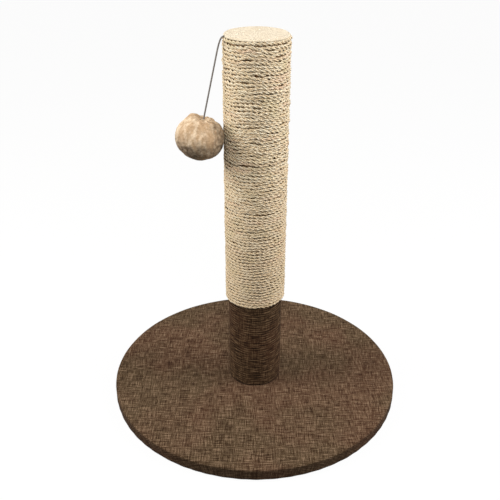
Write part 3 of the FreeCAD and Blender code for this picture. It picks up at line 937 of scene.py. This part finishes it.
# Patches of painted shade on the ball: (direction, share, reach in radians)
SHADE_PATCHES = [
    (on_ball(-0.28, -0.82, -0.45), 0.55, 0.40),
    (on_ball(-0.82, -0.50, -0.15), 0.36, 0.46),
    (on_ball(0.64, -0.48, 0.55), 0.35, 0.26),
    (on_ball(0.65, -0.72, -0.10), 0.22, 0.35),
    (on_ball(0.12, -0.95, -0.15), 0.15, 0.16),
]
SEAM_WAY = on_ball(0.50, -0.75, 0.40)
SEAM_REACH = 0.07


def ball_shift(way, polar, azimuth):
    """Height of the plush over the plain oval, in mm, in a direction from the ball's middle."""
    x, y, z = way
    shift = soft_noise(1.7 * x + 4, 1.7 * y, 1.7 * z) * 1.6
    shift += soft_noise(3.6 * x, 3.6 * y + 2, 3.6 * z) * 1.0
    for middle, height, reach in BALL_SHAPING:
        shift += height * math.exp(-((way.angle(middle) / reach) ** 2))
    near_mouth = 1 - smooth_step(polar, 0.25, 1.5)
    fold = math.cos(FOLDS * azimuth + 2.5 * soft_noise(2 * x, 2 * y, 8) + 1.5 * polar)
    shift += fold * 0.45 * near_mouth * smooth_step(polar, 0.05, 0.25)
    sway = 0.1 * math.sin(3 * polar)
    off_seam = math.remainder(azimuth - math.atan2(SEAM_WAY.y, SEAM_WAY.x) - sway, 2 * math.pi)
    seam = math.exp(-((off_seam * math.sin(polar) / SEAM_REACH) ** 2))
    shift += seam * 0.9 * smooth_step(polar, 0.2, 0.6) * (1 - smooth_step(polar, 1.7, 2.4))
    shift -= 0.4 + 1.7 * (1 - smooth_step(polar, 0.2, 0.6))
    side = smooth_step(polar, 0.6, 1.0) * (1 - smooth_step(polar, 2.1, 2.5))
    shift -= max(0.0, shift - 0.05) * 0.85 * side  # keeps clear of the rope as the ball turns
    shift += soft_noise(26 * x, 26 * y, 26 * z) * 0.35
    shift += soft_noise(60 * x, 60 * y, 60 * z) * 0.25
    return shift - 0.15


def ball_painted_shade(way):
    """Painted shade on the ball: towards its underside, on its side towards the post, where its
    shadow falls, and in patches.
    """
    outward = BALL_TURN.transposed() @ way
    right = outward.dot(in_view_frame(1, 0, 0))
    cloud = soft_noise(2.3 * way.x + 7, 2.3 * way.y, 2.3 * way.z)
    mottle = soft_noise(7 * way.x, 7 * way.y + 3, 7 * way.z)
    mottle += 0.6 * soft_noise(17 * way.x, 17 * way.y, 17 * way.z)
    # Painted shade towards the underside, painted shadow of the post on the side towards it, and
    # patches of painted shade, all with cloudy edges.
    under = smooth_step(-outward.z + 0.3 * cloud + 0.35 * mottle, -0.35, 0.65)
    post_shadow = smooth_step(right + 0.2 * cloud + 0.15 * mottle, 0.45, 1.0)
    patch_shade = 0.0
    for middle, dark, reach in SHADE_PATCHES:
        patch_shade += dark * math.exp(-((way.angle(middle) / reach) ** 2)) * (1 + 0.9 * mottle)
    return min(0.85, max(0.0, 0.38 * under + 0.45 * post_shadow + patch_shade))


def ball():
    """The plush ball with its gathered mouth drawn in round the cord."""
    half_w, half_h = BALL_W / 2, BALL_H / 2
    to_place = Matrix.Translation(BALL_MIDDLE) @ BALL_TURN.transposed().to_4x4()
    points, shades = [], []
    for i in range(BALL_RINGS):
        share = (i / (BALL_RINGS - 1)) ** RING_CROWDING
        polar = THROAT + (math.pi - BALL_FOOT - THROAT) * share
        off_axis = math.sin(polar)
        for azimuth in ring_angles(BALL_COLUMNS):
            way = around(off_axis, azimuth, math.cos(polar))
            outward = Vector((way.x / half_w, way.y / half_w, way.z / half_h)).normalized()
            point = Vector((half_w * way.x, half_w * way.y, half_h * way.z))
            point += outward * ball_shift(way, polar, azimuth) * MM * smooth_step(polar, 0.02, 0.2)
            away = math.hypot(point.x, point.y)
            if point.z > 0:
                lip = MOUTH_R * (1 + 0.08 * math.cos(FOLDS * azimuth))
                rise = math.exp(-(((away - lip * 1.1) / (0.7 * lip)) ** 2))
                point.z += rise * 0.35 * MM
                point.z -= MOUTH_DEPTH * (1 - smooth_step(away, 0.8 * MM, lip))
            points.append(to_place @ point)
            shades.append(ball_painted_shade(way))
    faces = [face[::-1] for face in tube_faces(BALL_RINGS, BALL_COLUMNS)]
    cover = new_piece(
        "plush_ball", points, faces, "toy_ball", TAN_PLUSH, ["ball_cover", "ball_core"]
    )
    point_values(cover, "painted_shade", shades)


# ---- CAD nodes that keep their shape ------------------------------------------------------

CAD_FINISHES = {
    "base_board": BOARD,
    "hem_staples": STEEL,
    "base_bolt": STEEL,
    "bolt_washer": STEEL,
    "post_tube": PAPER,
    "bottom_plug": PLUG_WOOD,
    "bottom_plug_nails": STEEL,
    "tee_nut": STEEL,
    "top_plug": PLUG_WOOD,
    "top_plug_nails": STEEL,
    "cord_staple": STEEL,
    "ball_knot": KNOT,
}


def finish_cad_nodes():
    for node, material in CAD_FINISHES.items():
        mesh = frame["nodes"][node].data
        mesh.materials.clear()
        mesh.materials.append(material)


# ---- Floor, light and camera --------------------------------------------------------------

SENSOR_W = 36.0  # mm
CAMERA_LENS = 52.77  # mm
CAMERA_DISTANCE = 0.86367  # from the post's axis, along the floor
CAMERA_HEIGHT = 0.67623
CAMERA_PITCH = 0.48982  # radians below the horizon
CAMERA_YAW = -0.0083
CAMERA_ROLL = 0.0026

AMBIENT = 0.34
AMBIENT_COLOUR = (1.0, 0.985, 0.96, 1)
FLOOR_REACH = 6.0
FLOOR_DROP = 0.2 * MM  # under the lining
FLOOR_GREY = (0.12, 0.12, 0.12, 1)  # as it lights the object
FLOOR_GLOW = 0.95  # share of plain white in the floor that the camera sees
LAMP_AIM = Vector((0, 0, 0.48))  # the lamps stand round the post's upper end
# Name: (direction as the photograph sees it, distance, size, strength, colour)
LAMPS = {
    "left": ((-0.92, -0.12, 0.34), 1.25, 0.7, 0.86, (1.0, 0.98, 0.955)),
    "right": ((0.92, -0.10, 0.34), 1.25, 0.7, 0.84, (1.0, 0.985, 0.98)),
    "front": ((0.10, -0.72, 0.66), 1.25, 0.5, 0.43, (1.0, 0.985, 0.96)),
    "back": ((0.1, 0.85, 0.5), 1.5, 1.1, 0.06, (1.0, 0.985, 0.96)),
}


def seen_by_eye(tree):
    """1 for what the camera sees directly or through gloss and glass."""
    path = tree.nodes.new("ShaderNodeLightPath")
    total = path.outputs["Is Camera Ray"]
    for name in ("Is Glossy Ray", "Is Transmission Ray"):
        add = tree.nodes.new("ShaderNodeMath")
        add.operation = "MAXIMUM"
        tree.links.new(total, add.inputs[0])
        tree.links.new(path.outputs[name], add.inputs[1])
        total = add.outputs[0]
    return total


def show_with_white(tree, share, shader, white_kind, output_kind):
    """Puts out the shader mixed with plain white of strength 1, in the given share."""
    white = tree.nodes.new(white_kind)
    white.inputs["Color"].default_value = (1, 1, 1, 1)
    white.inputs["Strength"].default_value = 1.0
    mix = tree.nodes.new("ShaderNodeMixShader")
    output = tree.nodes.new(output_kind)
    tree.links.new(share, mix.inputs[0])
    tree.links.new(shader.outputs[0], mix.inputs[1])
    tree.links.new(white.outputs[0], mix.inputs[2])
    tree.links.new(mix.outputs[0], output.inputs[0])


def world():
    """Even light on the object, with white for the eye."""
    scene_world = bpy.data.worlds.new("studio")
    bpy.context.scene.world = scene_world
    tree = cleared_tree(scene_world)
    seen = seen_by_eye(tree)
    ambient = tree.nodes.new("ShaderNodeBackground")
    ambient.inputs["Color"].default_value = AMBIENT_COLOUR
    ambient.inputs["Strength"].default_value = AMBIENT
    show_with_white(tree, seen, ambient, "ShaderNodeBackground", "ShaderNodeOutputWorld")


def floor():
    """A pale floor that shows as white and keeps part of the object's shadow."""
    material = bpy.data.materials.new("pale_floor")
    tree = cleared_tree(material)
    seen = seen_by_eye(tree)
    share = tree.nodes.new("ShaderNodeMath")
    share.operation = "MULTIPLY"
    share.inputs[1].default_value = FLOOR_GLOW
    paint = tree.nodes.new("ShaderNodeBsdfDiffuse")
    tone = tree.nodes.new("ShaderNodeMix")
    tone.data_type = "RGBA"
    tone.inputs[6].default_value = FLOOR_GREY
    tone.inputs[7].default_value = (1, 1, 1, 1)
    tree.links.new(seen, tone.inputs[0])
    tree.links.new(tone.outputs[2], paint.inputs["Color"])
    tree.links.new(seen, share.inputs[0])
    show_with_white(
        tree, share.outputs[0], paint, "ShaderNodeEmission", "ShaderNodeOutputMaterial"
    )
    mesh = bpy.data.meshes.new("floor")
    signs = ((-1, -1), (1, -1), (1, 1), (-1, 1))
    corners = [(x * FLOOR_REACH, y * FLOOR_REACH, 0) for x, y in signs]
    mesh.from_pydata(corners, [], [(0, 1, 2, 3)])
    mesh.materials.append(material)
    plane = bpy.data.objects.new("floor", mesh)
    plane.location.z = -FLOOR_DROP
    bpy.context.scene.collection.objects.link(plane)


def lamp(name, direction, distance, size, strength, colour):
    """A round soft box; at strength 1 a matt surface facing it at its aim shows its own colour."""
    light = bpy.data.lights.new(name, "AREA")
    light.shape = "DISK"
    light.size = size
    light.energy = strength * (math.pi * distance) ** 2
    light.color = colour
    away = in_view_frame(*direction).normalized()
    holder = bpy.data.objects.new(name, light)
    holder.location = LAMP_AIM + away * distance
    holder.rotation_mode = "QUATERNION"
    holder.rotation_quaternion = away.to_track_quat("Z", "Y")
    bpy.context.scene.collection.objects.link(holder)


def lights():
    for name, facts in LAMPS.items():
        lamp(name, *facts)


def camera():
    data = bpy.data.cameras.new("camera")
    data.sensor_width = SENSOR_W
    data.lens = CAMERA_LENS
    holder = bpy.data.objects.new("camera", data)
    bpy.context.scene.collection.objects.link(holder)
    level = math.cos(CAMERA_PITCH)
    forward = in_view_frame(
        math.sin(CAMERA_YAW) * level, math.cos(CAMERA_YAW) * level, -math.sin(CAMERA_PITCH)
    )
    right = forward.cross(Vector((0, 0, 1))).normalized()
    right = Matrix.Rotation(CAMERA_ROLL, 3, -forward) @ right
    turn = Matrix((right, right.cross(forward), -forward)).transposed()
    place = in_view_frame(0, -CAMERA_DISTANCE, CAMERA_HEIGHT)
    holder.matrix_world = Matrix.Translation(place) @ turn.to_4x4()
    bpy.context.scene.camera = holder


bpy.context.scene.view_settings.view_transform = "Standard"
camera()
cord()
base_cloth()
lining()
sleeve()
rope()
cap()
ball()
finish_cad_nodes()
world()
floor()
lights()
